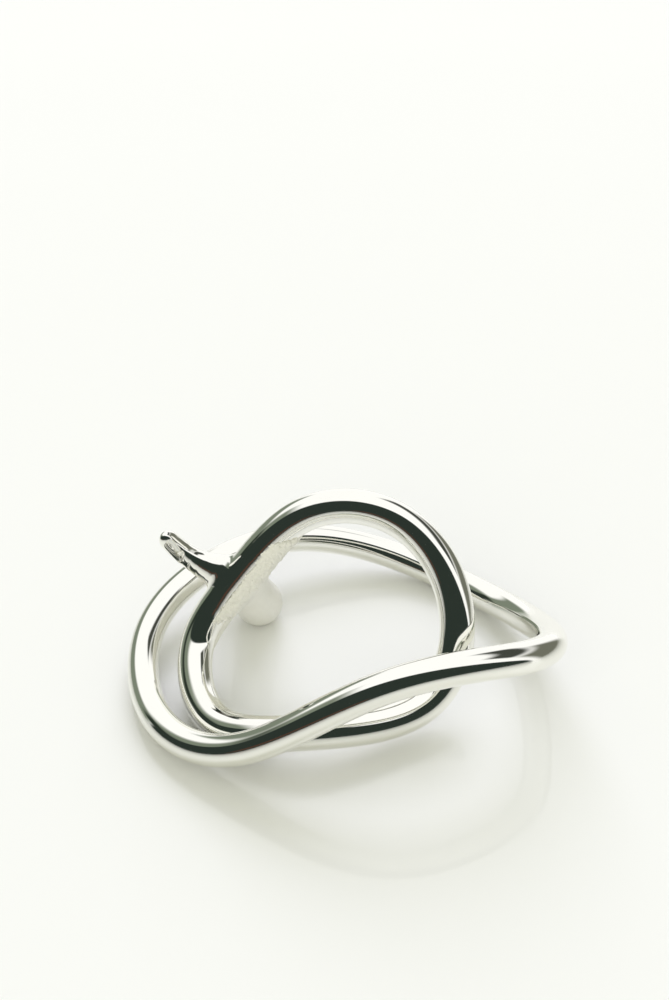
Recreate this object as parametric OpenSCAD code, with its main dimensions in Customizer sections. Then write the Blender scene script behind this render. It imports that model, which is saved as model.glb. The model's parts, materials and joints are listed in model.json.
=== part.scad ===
// Two-piece metal ring disentanglement puzzle.
// A bent hoop with a brazed crossbar leans half-way through a larger, wavy loop.
// +Z is up, the table is z = 0, and +X runs along the loop's longer side.

/* [Loop] */
// Diameter of the loop's rod
loop_rod_d = 3.6; // [3:0.1:4.4]
// Width of the loop between its rod's centre lines
loop_w = 46; // [43:0.5:54]
// Depth of the loop between its rod's centre lines
loop_depth = 38.5; // [36:0.5:46]
// Height of the hump in the front strand
loop_front_rise = 12.5; // [9:0.5:16]
// Height of the lift in the back left strand
loop_back_rise = 4; // [2:0.5:7]
// How far the loop's left centre line lies from the frame's origin
left_reach = 22; // [20:0.5:26]
// How far the loop's front centre line lies from the frame's origin
front_reach = 8; // [7:0.5:10]

/* [Hoop] */
// Diameter of the hoop's rod
hoop_rod_d = 4; // [3:0.1:4.6]
// Width of the hoop between its rod's centre lines
hoop_w = 29.5; // [26:0.5:32]
// How far the leaning hoop reaches back between its rod's centre lines
hoop_depth = 19; // [16:0.5:22]
// Height of the arch between its rod's centre lines
hoop_h = 18; // [15:0.5:24]

/* [Crossbar] */
// Diameter of the horn half-way along
horn_d = 3; // [2.4:0.1:3.4]
// Diameter of the horn at its tip
horn_tip_d = 2.3; // [1.6:0.1:2.6]
// How far the horn reaches to the left of the hoop's leg
horn_reach = 8; // [6.5:0.1:10]
// How far the horn leans back over its length
horn_lean = 3.2; // [2:0.1:5]
// How far the horn's tip curls up
horn_curl = 3; // [1:0.1:4]
// Diameter of the foot's stub where it leaves the hoop
stub_d = 3.6; // [2.8:0.1:3.8]
// Diameter of the ball at the foot's end
foot_ball_d = 4.8; // [4:0.1:5.4]
// How far behind the hoop's leg the ball stands
foot_reach = 7.4; // [6.5:0.1:10]
// How far to the right of the hoop's leg the ball stands
foot_side = 1.7; // [0.5:0.1:3]
// How much longer the saddle of a branch is along the leg than across it, as a share
saddle_stretch = 0.9; // [0.4:0.1:1.2]
// Thickness of the rod-shaped braze bead on the inside of the hoop's leg
bead_d = 3.8; // [3:0.1:4.4]
// How far the braze bead stands out from the rod's surface
bead_proud = 0.6; // [0.3:0.1:0.9]

/* [Fit] */
// Gap between the loop and what passes close to it
clearance = 0.4; // [0.3:0.05:0.8]
// Room between the left strands of the loop and the hoop
left_room = 2.3; // [1.5:0.1:4]

/* [Hidden] */

// Facets of the swept rods
rod_sides = 20;
rings_per_station = 12;
branch_rings = 16;

// The loop's left and front centre lines, and the hoop's, which nests behind them
loop_left = -left_reach;
loop_front = -front_reach;
rods_apart = (loop_rod_d + hoop_rod_d) / 2;
hoop_left = loop_left + rods_apart + left_room;
hoop_front = loop_front + rods_apart + clearance;

// Stations of the loop, counter-clockwise from the right-hand bend:
// shares of its width, depth, front rise and back rise
LOOP_PLAN = [
    [1.01, 0.33, 0.65, 0], [0.98, 0.69, 0, 0], [0.68, 1.02, 0, 0],
    [0.35, 1.01, 0, 1.2], [0.09, 0.79, 0, 0.95], [-0.03, 0.55, 0, 0.25],
    [0.04, 0.16, 0, 0], [0.27, -0.01, 0.12, 0], [0.58, 0, 1.14, 0], [0.95, 0.14, 0.9, 0]
];
// Stations of the hoop, the same way round: shares of its width, depth and height
HOOP_PLAN = [
    [1.05, 0.58, 0.53], [0.84, 1.01, 0.97], [0.41, 1.01, 1.07], [0.165, 0.87, 0.52],
    [-0.04, 0.77, 0.13], [0.05, 0.13, -0.075], [0.4, -0.09, 0.18], [0.93, 0.24, -0.07]
];

// Where the crossbar goes through the hoop, and where the braze bead starts
// and ends, in stations
junction = 3;
bead_from = 2.1;
bead_to = 4.1;

// Share of a branch's length over which its saddle fades out
saddle_share = 0.75;
// Share of the horn's reach and lean that lies before its bend, and its sag there
bend_share = 0.62;
lean_share = 0.75;
horn_sag = 0.4;

// Uniform cubic spline: the weights of four neighbouring stations at u, from 0 to 1
function weights(u) = [
    pow(1 - u, 3) / 6,
    (3 * pow(u, 3) - 6 * pow(u, 2) + 4) / 6,
    (-3 * pow(u, 3) + 3 * pow(u, 2) + 3 * u + 1) / 6,
    pow(u, 3) / 6
];
// Point at place s on the closed spline through the stations
function spline_at(stations, s) =
    let (n = len(stations), i = floor(s), w = weights(s - i))
    w[0] * stations[(i + n - 1) % n] + w[1] * stations[i % n]
    + w[2] * stations[(i + 1) % n] + w[3] * stations[(i + 2) % n];
function spline_path(stations) =
    [for (i = [0 : len(stations) * rings_per_station - 1]) spline_at(stations, i / rings_per_station)];
// Lift that sets a rod of radius r down on the table
function table_lift(path, r) = [0, 0, r - min([for (p = path) p.z])];

loop_stations = [for (s = LOOP_PLAN) [
    loop_left + s[0] * loop_w,
    loop_front + s[1] * loop_depth,
    s[2] * loop_front_rise + s[3] * loop_back_rise
]];
hoop_stations = [for (s = HOOP_PLAN) [
    hoop_left + s[0] * hoop_w,
    hoop_front + s[1] * hoop_depth,
    s[2] * hoop_h
]];
loop_lift = table_lift(spline_path(loop_stations), loop_rod_d / 2);
hoop_lift = table_lift(spline_path(hoop_stations), hoop_rod_d / 2);
loop_path = [for (p = spline_path(loop_stations)) p + loop_lift];
hoop_path = [for (p = spline_path(hoop_stations)) p + hoop_lift];

// Direction square to the path and level with the table, and the one square to both
function unit(v) = v / norm(v);
function level_side(t) = unit(cross(t, [0, 0, 1]));
function ring_at(p, t, r) =
    let (side = level_side(t), up = cross(side, unit(t)))
    [for (k = [0 : rod_sides - 1]) let (a = 360 * k / rod_sides) p + r * (cos(a) * side + sin(a) * up)];
// Two triangles between neighbouring sides of two rings
function ring_faces(a, b) =
    [for (k = [0 : rod_sides - 1]) let (m = (k + 1) % rod_sides) each [
        [a * rod_sides + k, a * rod_sides + m, b * rod_sides + k],
        [a * rod_sides + m, b * rod_sides + m, b * rod_sides + k]
    ]];

// Rod of radius r bent along a closed path
module closed_rod(path, r) {
    n = len(path);
    rings = [for (i = [0 : n - 1]) ring_at(path[i], path[(i + 1) % n] - path[(i + n - 1) % n], r)];
    polyhedron(
        points = [for (ring = rings) each ring],
        faces = [for (i = [0 : n - 1]) each ring_faces(i, (i + 1) % n)]
    );
}

// Ring around p drawn out along the direction w by the share k
function stretched(ring, p, w, k) = [for (q = ring) q + k * ((q - p) * w) * w];

// Rod along an open path, with a radius for each of its points;
// near its start its rings are drawn out along w
module open_rod(path, radii, w = [0, 0, 1], stretch = 0) {
    n = len(path);
    function heading(i) = path[min(i + 1, n - 1)] - path[max(i - 1, 0)];
    function fade(i) = stretch * pow(max(1 - i / branch_rings / saddle_share, 0), 2);
    rings = [for (i = [0 : n - 1])
        stretched(ring_at(path[i], heading(i), radii[i]), path[i], w, fade(i))];
    polyhedron(
        points = [for (ring = rings) each ring],
        faces = concat(
            [[for (k = [rod_sides - 1 : -1 : 0]) k]],
            [for (i = [0 : n - 2]) each ring_faces(i, i + 1)],
            [[for (k = [0 : rod_sides - 1]) (n - 1) * rod_sides + k]]
        )
    );
}

// Points and radii of a round end of radius r that starts at p and heads along t
end_angles = [18, 36, 54, 72, 84];
function end_points(p, t, r) = [for (a = end_angles) p + r * sin(a) * unit(t)];
function end_radii(r) = [for (a = end_angles) r * cos(a)];

module loop_rod() { closed_rod(loop_path, loop_rod_d / 2); }
module hoop_rod() { closed_rod(hoop_path, hoop_rod_d / 2); }

// The stretch of the hoop's left leg that carries the crossbar
function hoop_at(s) = spline_at(hoop_stations, s) + hoop_lift;
leg_first = floor((bead_from - 0.5) * rings_per_station);
leg_last = ceil((bead_to + 0.5) * rings_per_station);
module hoop_leg() {
    path = [for (i = [leg_first : leg_last]) hoop_path[i]];
    open_rod(path, [for (p = path) hoop_rod_d / 2]);
}

// Shares along a branch, and the direction of the leg at its root
branch_shares = [for (i = [0 : branch_rings]) i / branch_rings];
branch_root = hoop_at(junction);
leg_heading = unit(hoop_at(junction + 0.05) - hoop_at(junction - 0.05));

// Curve from a to b, pulled towards m
function curve_between(a, m, b, u) = pow(1 - u, 2) * a + 2 * u * (1 - u) * m + pow(u, 2) * b;

horn_bend = branch_root + [-bend_share * horn_reach, lean_share * horn_lean, -horn_sag];
horn_tip = branch_root + [-horn_reach, horn_lean, horn_curl];
// The horn keeps the hoop's thickness at its root and thins towards its tip
function horn_r(u) = curve_between(hoop_rod_d - 0.2, horn_d - 0.2, horn_tip_d, u) / 2;
module horn_solid() {
    path = [for (u = branch_shares) curve_between(branch_root, horn_bend, horn_tip, u)];
    last_heading = path[branch_rings] - path[branch_rings - 1];
    open_rod(
        concat(path, end_points(horn_tip, last_heading, horn_tip_d / 2)),
        concat([for (u = branch_shares) horn_r(u)], end_radii(horn_tip_d / 2)),
        leg_heading, saddle_stretch
    );
}

foot_centre = [branch_root.x + foot_side, branch_root.y + foot_reach, foot_ball_d / 2];
module stub_solid() {
    path = [for (u = branch_shares) branch_root + u * (foot_centre - branch_root)];
    radii = [for (u = branch_shares) stub_d / 2 + pow(sin(90 * u), 3) * (foot_ball_d - stub_d) / 2];
    open_rod(
        concat(path, end_points(foot_centre, foot_centre - branch_root, foot_ball_d / 2)),
        concat(radii, end_radii(foot_ball_d / 2)),
        leg_heading, saddle_stretch
    );
}

hoop_middle = [hoop_left + hoop_w / 2, hoop_front + hoop_depth / 2, hoop_h / 2];
bead_inset = hoop_rod_d / 2 + bead_proud - bead_d / 2;
// Direction from the leg's centre line towards the middle of the hoop, square to the leg
function inward(s) =
    let (t = unit(hoop_at(s + 0.01) - hoop_at(s - 0.01)), v = hoop_middle - hoop_at(s))
    unit(v - (v * t) * t);
module bead_solid() {
    path = [for (u = branch_shares) let (s = bead_from + u * (bead_to - bead_from))
        hoop_at(s) + sqrt(sin(180 * u)) * bead_inset * inward(s)];
    open_rod(path, [for (u = branch_shares) bead_d / 2]);
}

module loop_bar() { color("silver") loop_rod(); }
module hoop_bar() { color("gainsboro") hoop_rod(); }
module catch_horn() {
    color("lightgray") difference() {
        horn_solid();
        hoop_leg();
    }
}
module foot_stub() {
    color("ivory") difference() {
        stub_solid();
        hoop_leg();
        horn_solid();
    }
}
module braze_bead() {
    color("beige") difference() {
        bead_solid();
        hoop_leg();
        horn_solid();
        stub_solid();
    }
}

loop_bar();
hoop_bar();
catch_horn();
foot_stub();
braze_bead();
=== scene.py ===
"""Looks of a two-piece bent-rod puzzle: a leaning hoop nested through a larger wavy loop."""

import json
import math

import bmesh
import bpy
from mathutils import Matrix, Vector, noise
from mathutils.bvhtree import BVHTree


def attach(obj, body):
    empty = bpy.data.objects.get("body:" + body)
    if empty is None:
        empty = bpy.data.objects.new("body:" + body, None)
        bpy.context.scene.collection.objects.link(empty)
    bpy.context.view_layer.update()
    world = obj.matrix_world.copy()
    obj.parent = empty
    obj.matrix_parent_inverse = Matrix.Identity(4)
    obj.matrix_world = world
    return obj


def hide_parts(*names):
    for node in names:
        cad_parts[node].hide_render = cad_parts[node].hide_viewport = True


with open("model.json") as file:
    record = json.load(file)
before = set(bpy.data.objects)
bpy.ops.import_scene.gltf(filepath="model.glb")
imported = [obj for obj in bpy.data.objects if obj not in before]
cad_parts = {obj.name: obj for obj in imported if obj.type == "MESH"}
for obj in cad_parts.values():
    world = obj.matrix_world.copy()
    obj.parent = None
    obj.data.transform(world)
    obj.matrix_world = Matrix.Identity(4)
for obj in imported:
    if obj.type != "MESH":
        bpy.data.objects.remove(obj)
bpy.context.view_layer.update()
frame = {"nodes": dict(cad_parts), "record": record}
scene = bpy.context.scene
MM = 0.001


# ---------------------------------------------------------------- camera

CAMERA_AT = Vector((0, -112.5, 106.7)) * MM
CAMERA_PITCH = math.radians(33.93)
VERTICAL_VIEW = math.radians(39.64)


def place_camera():
    """The camera looks along +Y and down on the table."""
    lens = bpy.data.cameras.new("camera")
    lens.sensor_fit = "VERTICAL"
    lens.sensor_height = 24
    lens.lens = lens.sensor_height / 2 / math.tan(VERTICAL_VIEW / 2)
    lens.clip_start = 0.005
    lens.clip_end = 20
    camera = bpy.data.objects.new("camera", lens)
    camera.location = CAMERA_AT
    camera.rotation_euler = (math.pi / 2 - CAMERA_PITCH, 0, 0)
    scene.collection.objects.link(camera)
    scene.camera = camera


# ---------------------------------------------------------------- nodes

class Nodes:
    """Short calls that add and wire the nodes of a material or of the world."""

    def __init__(self, owner):
        owner.use_nodes = True
        self.tree = owner.node_tree
        self.tree.nodes.clear()

    def add(self, kind, **settings):
        node = self.tree.nodes.new(kind)
        for name, value in settings.items():
            setattr(node, name, value)
        return node

    def put(self, socket, value):
        """Wires a socket to the input, or sets the input to a plain value."""
        if isinstance(value, bpy.types.NodeSocket):
            self.tree.links.new(value, socket)
        elif value is not None:
            socket.default_value = value

    def math(self, operation, first, second=None):
        node = self.add("ShaderNodeMath", operation=operation)
        self.put(node.inputs[0], first)
        self.put(node.inputs[1], second)
        return node.outputs[0]

    def step(self, value, low, high):
        """0 at low and 1 at high, with a smooth step between."""
        node = self.add("ShaderNodeMapRange", interpolation_type="SMOOTHSTEP")
        self.put(node.inputs["Value"], value)
        node.inputs["From Min"].default_value = low
        node.inputs["From Max"].default_value = high
        return node.outputs[0]

    def span(self, value, low, high):
        """Spreads 0 to 1 over low to high."""
        node = self.add("ShaderNodeMapRange")
        self.put(node.inputs["Value"], value)
        node.inputs["To Min"].default_value = low
        node.inputs["To Max"].default_value = high
        return node.outputs[0]

    def mix(self, share, first, second):
        """Colour between first and second by share."""
        node = self.add("ShaderNodeMix", data_type="RGBA")
        self.put(node.inputs[0], share)
        self.put(node.inputs[6], first)
        self.put(node.inputs[7], second)
        return node.outputs[2]

    def noise(self, coords, scale, detail=2.0, roughness=0.5):
        node = self.add("ShaderNodeTexNoise")
        self.put(node.inputs["Vector"], coords)
        node.inputs["Scale"].default_value = scale
        node.inputs["Detail"].default_value = detail
        node.inputs["Roughness"].default_value = roughness
        return node.outputs[0]

    def bump(self, height, strength, distance):
        node = self.add("ShaderNodeBump")
        self.put(node.inputs["Height"], height)
        node.inputs["Strength"].default_value = strength
        node.inputs["Distance"].default_value = distance
        return node.outputs[0]


def new_material(name):
    """A material with its nodes, its shader and the object's own coordinates."""
    material = bpy.data.materials.new(name)
    nodes = Nodes(material)
    shader = nodes.add("ShaderNodeBsdfPrincipled")
    output = nodes.add("ShaderNodeOutputMaterial")
    nodes.put(output.inputs["Surface"], shader.outputs[0])
    coords = nodes.add("ShaderNodeTexCoord").outputs["Object"]
    return material, nodes, shader, coords


def polished_metal():
    """Mirror-polished rod with faint polishing haze and a hint of warmth."""
    material, nodes, shader, coords = new_material("polished_metal")
    haze = nodes.noise(coords, 260, 3)
    fine = nodes.noise(coords, 2600, 2)
    tint = nodes.mix(haze, (0.93, 0.925, 0.87, 1), (0.90, 0.895, 0.84, 1))
    nodes.put(shader.inputs["Base Color"], tint)
    shader.inputs["Metallic"].default_value = 1
    nodes.put(shader.inputs["Roughness"], nodes.span(haze, 0.03, 0.09))
    nodes.put(shader.inputs["Normal"], nodes.bump(fine, 0.02, 0.00002))
    return material


def frosted_metal():
    """Pale, blasted metal of the foot."""
    material, nodes, shader, coords = new_material("frosted_metal")
    cloud = nodes.noise(coords, 500, 4)
    grain = nodes.noise(coords, 3500, 3)
    pale = nodes.mix(cloud, (0.88, 0.87, 0.80, 1), (0.95, 0.94, 0.88, 1))
    nodes.put(shader.inputs["Base Color"], pale)
    shader.inputs["Metallic"].default_value = 0.1
    nodes.put(shader.inputs["Roughness"], nodes.span(grain, 0.4, 0.6))
    nodes.put(shader.inputs["Normal"], nodes.bump(grain, 0.4, 0.00005))
    return material


def granular_braze():
    """Rough braze with sand-like grains and a few dark spots of painted shade where small pits
    would be.
    """
    material, nodes, shader, coords = new_material("granular_braze")
    grain = nodes.noise(coords, 2200, 4, 0.65)
    # Painted shade: dark spots in the colour stand in for the shade inside small pits, which the
    # mesh does not have
    pit_shade = nodes.step(nodes.noise(coords, 1900, 1), 0.22, 0.28)
    pale = nodes.mix(grain, (0.86, 0.85, 0.77, 1), (0.95, 0.94, 0.88, 1))
    # The painted pit shade darkens the braze's colour to a dark brown-grey in those spots
    nodes.put(shader.inputs["Base Color"], nodes.mix(pit_shade, (0.35, 0.34, 0.28, 1), pale))
    shader.inputs["Metallic"].default_value = 0.1
    shader.inputs["Roughness"].default_value = 0.45
    nodes.put(shader.inputs["Normal"], nodes.bump(grain, 0.9, 0.0001))
    return material


def table_top():
    """Pale glossy table that mirrors faintly."""
    material, _, shader, _ = new_material("table_top")
    shader.inputs["Base Color"].default_value = (0.95, 0.955, 0.946, 1)
    shader.inputs["Roughness"].default_value = 0.04
    shader.inputs["IOR"].default_value = 1.45
    return material


# ---------------------------------------------------------------- pieces

# Sizes in this section are in millimetres

# How near a branch's cut end lies to the hoop, and how deep it sinks into it
TOUCH = 0.06
SINK = 0.7
# How far the carried stretch of the hoop lies under the hoop's own surface, how far
# the saddle lies over it, and over how much the one blends into the other
UNDER = 0.05
HUG_LEVEL = 0.015
HUG_BLEND = 0.1
# How far off the hoop, and how deep inside it, a point is still brought on to it
HUG_OUTSIDE = 1
HUG_INSIDE = 0.5
# How far from its middle the saddle starts to dip under the leg, and over how much
HUG_END = 4.2
HUG_DIP = 2.4
# How fine the fused skins are
SKIN_VOXEL = 0.09
BRAZE_VOXEL = 0.08
# How much of the leg round its root each skin takes in, and how much is looked up
HORN_LEG = 7
FOOT_LEG = 6
BRAZE_LEG = 9.5
LEG_AROUND = 11

# The horn's saddle: how high and wide it stands and how its fall curves, then the
# ever smaller rounds that soften it
SADDLE_HEIGHT = 0.55
SADDLE_REACH = 3.3
SADDLE_FALL = 1.5
SADDLE_ROUNDS = (5.5, 4.4, 3.5, 2.7)
# How far and which way the horn reaches from its root, how its tip bends up and forward
# there, how late the bend sets in, and how far off the leg it is in full
HORN_REACH = 8
HORN_WAY = Vector((-0.85, 0.1, 0.5))
HORN_LIFT = Vector((0.4, -2.8, 1.9))
HORN_CURVE = 1.6
HORN_START = 0.8

# The foot's neck: how much it swells close by and further out, the rounds that soften
# it, how deep it sinks where the leg stays bare, how far it spreads along the leg, how
# gently it ends there and how much thinner it then is
SWELL_CLOSE = 0.27
SWELL_WIDE = 0.25
NECK_ROUNDS = (4.6, 3.8, 3.0)
FOOT_SINK = 1.0
FOOT_SPREAD = 3.4
SPREAD_FADE = 1.6
FOOT_THIN = 0.15
# Which way the leg's bright front side faces
LEG_FRONT = Vector((-0.3, -0.8, 0.5))

# The braze keeps to one side of a plane along the leg, above a foot and below a top.
# Each of these has its place, how far it wavers and how gently the braze ends there,
# and past them the braze sinks into the leg
BRAZE_SIDE = Vector((0.81, -0.31, -0.5))
BRAZE_EDGE, EDGE_WAVER, EDGE_FADE = -18.3, 0.27, 0.3
BRAZE_FOOT, FOOT_WAVER, FOOT_FADE = 7.3, 0.4, 1.2
BRAZE_TOP, TOP_WAVER, TOP_FADE = 17.6, 0.2, 0.8
BRAZE_SINK = 0.9


def eased(share):
    """Smooth step from 0 to 1."""
    share = min(max(share, 0), 1)
    return share * share * (3 - 2 * share)


def share_near(surface, place, reach):
    """1 on a surface, falling to 0 at reach from it."""
    return max(0, 1 - surface.find_nearest(place)[3] / reach)


def lumps(place, height, size):
    """How far a lumpy skin stands out at a place, for lumps of a height and a size."""
    return height * noise.noise(place / size)


def copied(node):
    """A CAD node's mesh in millimetres, with its doubles merged."""
    shape = bmesh.new()
    shape.from_mesh(frame["nodes"][node].data)
    bmesh.ops.scale(shape, vec=(1 / MM,) * 3, verts=shape.verts)
    bmesh.ops.remove_doubles(shape, verts=shape.verts, dist=0.001)
    bmesh.ops.join_triangles(
        shape, faces=shape.faces, angle_face_threshold=math.radians(40),
        angle_shape_threshold=math.radians(60),
    )
    return shape


def surface_of(node):
    """A CAD node's surface, to look up the nearest place on."""
    shape = copied(node)
    surface = BVHTree.FromBMesh(shape)
    shape.free()
    return surface


def settled(shape, name, *modifiers):
    """The shape with modifiers carried out, each a kind and its settings."""
    mesh = bpy.data.meshes.new(name)
    shape.to_mesh(mesh)
    shape.free()
    lump = bpy.data.objects.new(name, mesh)
    scene.collection.objects.link(lump)
    for kind, settings in modifiers:
        modifier = lump.modifiers.new(kind.lower(), kind)
        for key, value in settings.items():
            setattr(modifier, key, value)
    seen = lump.evaluated_get(bpy.context.evaluated_depsgraph_get())
    result = bmesh.new()
    result.from_mesh(seen.to_mesh())
    seen.to_mesh_clear()
    bpy.data.objects.remove(lump)
    bpy.data.meshes.remove(mesh)
    return result


def rounded(shape, name, levels=2):
    """The shape with its facets rounded off."""
    return settled(shape, name, ("SUBSURF", {"levels": levels, "render_levels": levels}))


def finished(shape, name, material, node):
    """Makes the shape, in millimetres, the piece that stands for a CAD node."""
    bmesh.ops.scale(shape, vec=(MM,) * 3, verts=shape.verts)
    bmesh.ops.recalc_face_normals(shape, faces=shape.faces)
    for face in shape.faces:
        face.smooth = True
    mesh = bpy.data.meshes.new(name)
    shape.to_mesh(mesh)
    shape.free()
    mesh.materials.append(material)
    piece = bpy.data.objects.new(name, mesh)
    scene.collection.objects.link(piece)
    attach(piece, body_of(node))
    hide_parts(node)
    return piece


def body_of(node):
    """The body that carries a CAD node."""
    bodies = frame["record"]["behaviour"]["bodies"]
    return next(body for body, nodes in bodies.items() if node in nodes)


def sink_ends(shape, *carriers):
    """Sinks what touches the carriers into them, and tells the middle of the touching area."""
    touching = []
    for carrier in carriers:
        surface = surface_of(carrier)
        for point in shape.verts:
            place, normal, _, gap = surface.find_nearest(point.co)
            if gap < TOUCH:
                touching.append((point, point.co - SINK * normal))
    middle = sum((point.co for point, _ in touching), Vector()) / len(touching)
    for point, sunk in touching:
        point.co = sunk
    return middle


def leg_round(middle, reach):
    """The stretch of the hoop round a place, a hair thinner than the hoop itself."""
    leg = rounded(copied("hoop_bar"), "leg")
    far = [point for point in leg.verts if (point.co - middle).length > reach]
    bmesh.ops.delete(leg, geom=far, context="VERTS")
    bmesh.ops.holes_fill(leg, edges=[edge for edge in leg.edges if edge.is_boundary])
    bmesh.ops.recalc_face_normals(leg, faces=leg.faces)
    leg.normal_update()
    for point in leg.verts:
        point.co -= UNDER * point.normal
    return leg


def fused(name, voxel, *shapes):
    """One closed skin round the shapes."""
    whole = bmesh.new()
    for shape in shapes:
        part = bpy.data.meshes.new("part")
        shape.to_mesh(part)
        shape.free()
        whole.from_mesh(part)
        bpy.data.meshes.remove(part)
    return settled(whole, name, ("REMESH", {"mode": "VOXEL", "voxel_size": voxel}))


def fine_leg(middle, reach):
    """The stretch of the hoop round a place as a fine surface to look up places on."""
    leg = copied("hoop_bar")
    far = [point for point in leg.verts if (point.co - middle).length > reach]
    bmesh.ops.delete(leg, geom=far, context="VERTS")
    leg = rounded(leg, "leg", 3)
    surface = BVHTree.FromBMesh(leg)
    leg.free()
    return surface


def hug(shape, leg, middle):
    """Brings the shape on to the leg without an edge, and under its surface further out."""
    for point in shape.verts:
        place, normal, _, gap = leg.find_nearest(point.co)
        out = (point.co - place).dot(normal)
        if gap > HUG_OUTSIDE or out < -HUG_INSIDE:
            continue
        away = (point.co - middle).length
        level = HUG_LEVEL - (HUG_LEVEL + UNDER) * eased((away - HUG_END) / HUG_DIP)
        over = out - level
        point.co = place + (level + 0.5 * (over + math.hypot(over, HUG_BLEND))) * normal


def soften(shape, rounds, middle=None, reach=0):
    """Smooths the shape, or only what lies within reach of a place."""
    chosen = [
        point for point in shape.verts
        if middle is None or (point.co - middle).length < reach
    ]
    for _ in range(rounds):
        bmesh.ops.smooth_vert(
            shape, verts=chosen, factor=0.5, use_axis_x=True, use_axis_y=True, use_axis_z=True,
        )


def roughen(shape, amount):
    """Moves each point out by what amount says of its place."""
    shape.normal_update()
    moved = [(point, point.co + amount(point.co) * point.normal) for point in shape.verts]
    for point, place in moved:
        point.co = place


def braze_kept(place, waver):
    """1 where the braze lies on the leg and 0 where the leg is bare, with a wavering edge."""
    aside = eased((place.dot(BRAZE_SIDE) - BRAZE_EDGE + EDGE_WAVER * waver) / EDGE_FADE)
    above = eased((place.z - BRAZE_FOOT + FOOT_WAVER * waver) / FOOT_FADE)
    below = eased((BRAZE_TOP - place.z + TOP_WAVER * waver) / TOP_FADE)
    return aside * above * below


def make_rod(node, name, material):
    """A closed bar, rounded off."""
    finished(rounded(copied(node), name), name, material, node)


def make_horn(material):
    """The crossbar's free end, with a soft saddle where it meets the leg."""
    horn = copied("catch_horn")
    root = sink_ends(horn, "hoop_bar")
    leg = fine_leg(root, LEG_AROUND)
    shape = fused("horn", SKIN_VOXEL, rounded(horn, "horn"), leg_round(root, HORN_LEG))
    soften(shape, 12)

    def saddle(place):
        near = max(0, 1 - (place - root).length / SADDLE_REACH)
        return SADDLE_HEIGHT * near ** SADDLE_FALL

    roughen(shape, saddle)
    for reach in SADDLE_ROUNDS:
        soften(shape, 70, root, reach)
    hug(shape, leg, root)
    soften(shape, 4)
    for point in shape.verts:
        out = max(0, (point.co - root).dot(HORN_WAY) / HORN_REACH)
        clear = eased(leg.find_nearest(point.co)[3] / HORN_START)
        point.co += clear * out ** HORN_CURVE * HORN_LIFT
    finished(shape, "horn", material, "catch_horn")


def make_foot(material):
    """The crossbar's other end: a pear-shaped foot that flares out over the braze."""
    stub = copied("foot_stub")
    surface = surface_of("foot_stub")
    root = sink_ends(stub, "hoop_bar", "catch_horn")
    leg = fine_leg(root, LEG_AROUND)
    bead = copied("braze_bead")
    sink_ends(bead, "hoop_bar", "catch_horn", "foot_stub")
    bead = rounded(bead, "bead", 1)
    stub = rounded(stub, "stub")
    shape = fused("foot", SKIN_VOXEL, stub, bead, leg_round(root, FOOT_LEG))
    soften(shape, 10)

    def bared(place):
        """How far the leg's bright front side has to stay clear of the foot at a place."""
        _, normal, _, gap = leg.find_nearest(place)
        front = eased(normal.dot(LEG_FRONT) * 1.6 + 0.5)
        return (1 - braze_kept(place, 0)) * front * max(0, 1 - gap / 1.5)

    def swell(place):
        close = SWELL_CLOSE * share_near(surface, place, 1)
        full = close + SWELL_WIDE * share_near(surface, place, 2)
        return full * (1 - bared(place))

    roughen(shape, swell)
    for reach in NECK_ROUNDS:
        soften(shape, 50, root, reach)

    def grain(place):
        rough = lumps(place, 0.03, 0.6) + lumps(place, 0.012, 0.2)
        away = (place - root).length
        spread = eased((away - FOOT_SPREAD) / SPREAD_FADE) * share_near(leg, place, 1)
        return rough - FOOT_SINK * bared(place) - FOOT_THIN * spread

    roughen(shape, grain)
    for point in shape.verts:
        point.co.z = max(point.co.z, 0)
    finished(shape, "foot", material, "foot_stub")


def make_braze(material):
    """Ragged, granular braze along the inside of the leg."""
    bead = copied("braze_bead")
    surface = surface_of("braze_bead")
    middle = sink_ends(bead, "hoop_bar", "catch_horn", "foot_stub")
    bead = rounded(bead, "bead", 1)
    shape = fused("braze", BRAZE_VOXEL, bead, leg_round(middle, BRAZE_LEG))
    soften(shape, 8)

    def grain(place):
        coarse = lumps(place, 1, 0.55) + lumps(place, 0.7, 0.25)
        kept = braze_kept(place, coarse)
        rough = 0.04 + 0.12 * coarse + lumps(place, 0.07, 0.13)
        near = min(1, 2 * share_near(surface, place, 0.8))
        return near * (kept * rough + (kept - 1) * BRAZE_SINK)

    roughen(shape, grain)
    finished(shape, "braze", material, "braze_bead")


# ---------------------------------------------------------------- surroundings

def lay_table(material):
    """The plain table, which isn't part of the puzzle."""
    shape = bmesh.new()
    bmesh.ops.create_grid(shape, x_segments=1, y_segments=1, size=3)
    mesh = bpy.data.meshes.new("table")
    shape.to_mesh(mesh)
    shape.free()
    mesh.materials.append(material)
    table = bpy.data.objects.new("table", mesh)
    scene.collection.objects.link(table)


# What the polished metal sees round about, as panels of the room: the middle and
# half width in degrees round the object from -Y towards +X, the lowest and highest
# elevation, the softness of the edges and the colour
PANELS = (
    (-130, 30, -5, 26, 5, (0.21, 0.245, 0.19)),
    (-84, 27, 20, 52, 9, (0.21, 0.245, 0.19)),
    (-92, 16, 8, 27, 4, (0.026, 0.036, 0.027)),
    (112, 28, -8, 30, 6, (0.17, 0.175, 0.14)),
    (116, 34, 34, 52, 4, (0.06, 0.065, 0.055)),
)
# The dark side of the room: its colour, which way it lies, its height over its distance
# and how soft its edge is
ROOM_DARK = (0.026, 0.036, 0.03)
ROOM_TURN = -12
ROOM_HEIGHT = 2.3
ROOM_SOFT = 0.06
# A brown strip at the foot of the dark side
SKIRTING = (-30, 28, 3, 7, 2, (0.10, 0.045, 0.03))
# The pale rest of the room as the metal sees it, and what lights the scene from all round
CEILING = 1.1
SKY = (0.65, 0.655, 0.56, 1)
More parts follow.
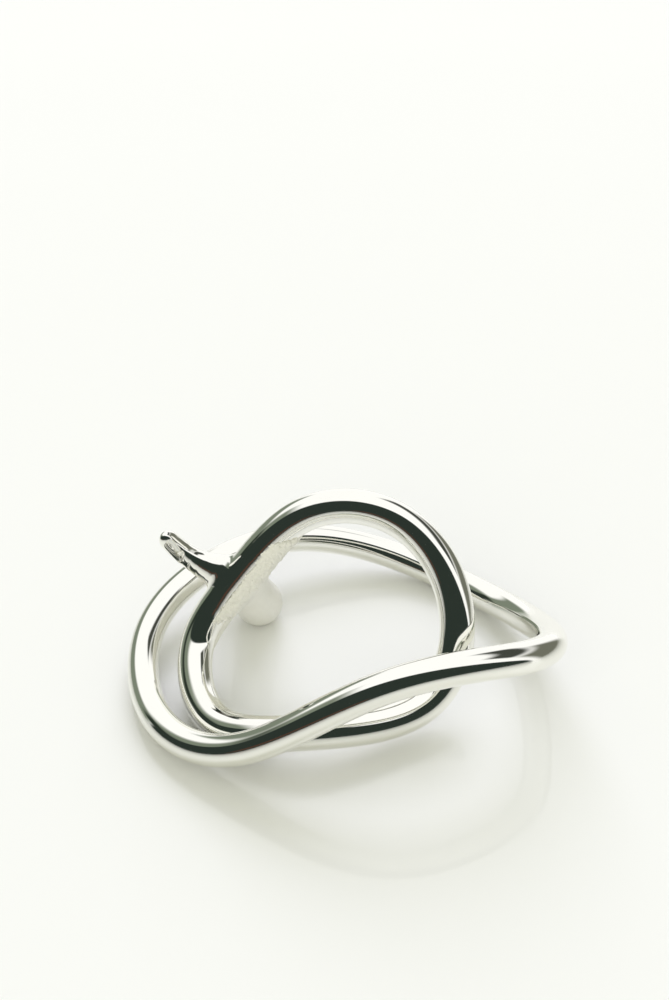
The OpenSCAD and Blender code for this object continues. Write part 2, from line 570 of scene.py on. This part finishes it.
# Lamps: the strength, colour, tilt from overhead, turn from +Y and spread of each
LAMPS = {
    "window": (1.32, (1, 1, 1.22), 50, 0, 46),
    "fill": (1.0, (1, 0.98, 0.88), 74, 160, 60),
}


def light_studio():
    """White room all round, with dark and grey sides that only the polished metal shows."""
    world = bpy.data.worlds.new("studio")
    scene.world = world
    nodes = Nodes(world)
    direction = nodes.add("ShaderNodeSeparateXYZ")
    nodes.put(direction.inputs[0], nodes.add("ShaderNodeTexCoord").outputs["Generated"])
    x, y, z = direction.outputs
    elevation = nodes.math("MULTIPLY", nodes.math("ARCSINE", z), math.degrees(1))
    level = nodes.math("SUBTRACT", 1, nodes.math("MULTIPLY", z, z))
    reach = nodes.math("MAXIMUM", nodes.math("SQRT", level), 0.001)

    def towards(turn):
        """How far the direction goes towards a turn round the object, measured from -Y to +X."""
        turn = math.radians(turn)
        return nodes.math(
            "SUBTRACT",
            nodes.math("MULTIPLY", x, math.sin(turn)),
            nodes.math("MULTIPLY", y, math.cos(turn)),
        )

    def laid_on(seen, panel):
        """What is seen with one soft-edged panel in front of it."""
        turn, half, low, high, soft, colour = panel
        share = nodes.math("DIVIDE", towards(turn), reach)
        outer = math.cos(math.radians(half + soft))
        inner = math.cos(math.radians(half - soft))
        sides = nodes.step(share, outer, inner)
        above = nodes.step(elevation, low - soft, low + soft)
        below = nodes.step(elevation, high + soft, high - soft)
        inside = nodes.math("MULTIPLY", sides, nodes.math("MULTIPLY", above, below))
        return nodes.mix(inside, seen, (*colour, 1))

    seen = (CEILING, CEILING, CEILING, 1)
    for panel in PANELS:
        seen = laid_on(seen, panel)
    ahead = towards(ROOM_TURN)
    slope = nodes.math("SUBTRACT", z, nodes.math("MULTIPLY", ahead, ROOM_HEIGHT))
    under = nodes.step(slope, ROOM_SOFT, -ROOM_SOFT)
    inside = nodes.math("MULTIPLY", under, nodes.step(ahead, 0, 0.1))
    seen = nodes.mix(inside, seen, (*ROOM_DARK, 1))
    seen = laid_on(seen, SKIRTING)
    glossy = nodes.add("ShaderNodeLightPath").outputs["Is Glossy Ray"]
    camera = nodes.add("ShaderNodeLightPath").outputs["Is Camera Ray"]
    background = nodes.add("ShaderNodeBackground")
    around = nodes.mix(camera, SKY, (1, 1, 1, 1))
    nodes.put(background.inputs["Color"], nodes.mix(glossy, around, seen))
    background.inputs["Strength"].default_value = 1.0
    output = nodes.add("ShaderNodeOutputWorld")
    nodes.put(output.inputs["Surface"], background.outputs[0])

    for name, (strength, colour, tilt, turn, spread) in LAMPS.items():
        light = bpy.data.lights.new(name, "SUN")
        light.energy = strength
        light.color = colour
        light.angle = math.radians(spread)
        lamp = bpy.data.objects.new(name, light)
        lamp.rotation_euler = (math.radians(-tilt), 0, math.radians(turn))
        lamp.visible_glossy = False
        scene.collection.objects.link(lamp)


def main():
    """Builds the whole scene."""
    scene.view_settings.view_transform = "Standard"
    place_camera()
    light_studio()
    lay_table(table_top())
    polished = polished_metal()
    make_rod("loop_bar", "loop_rod", polished)
    make_rod("hoop_bar", "hoop_rod", polished)
    make_horn(polished)
    make_foot(frosted_metal())
    make_braze(granular_braze())


main()
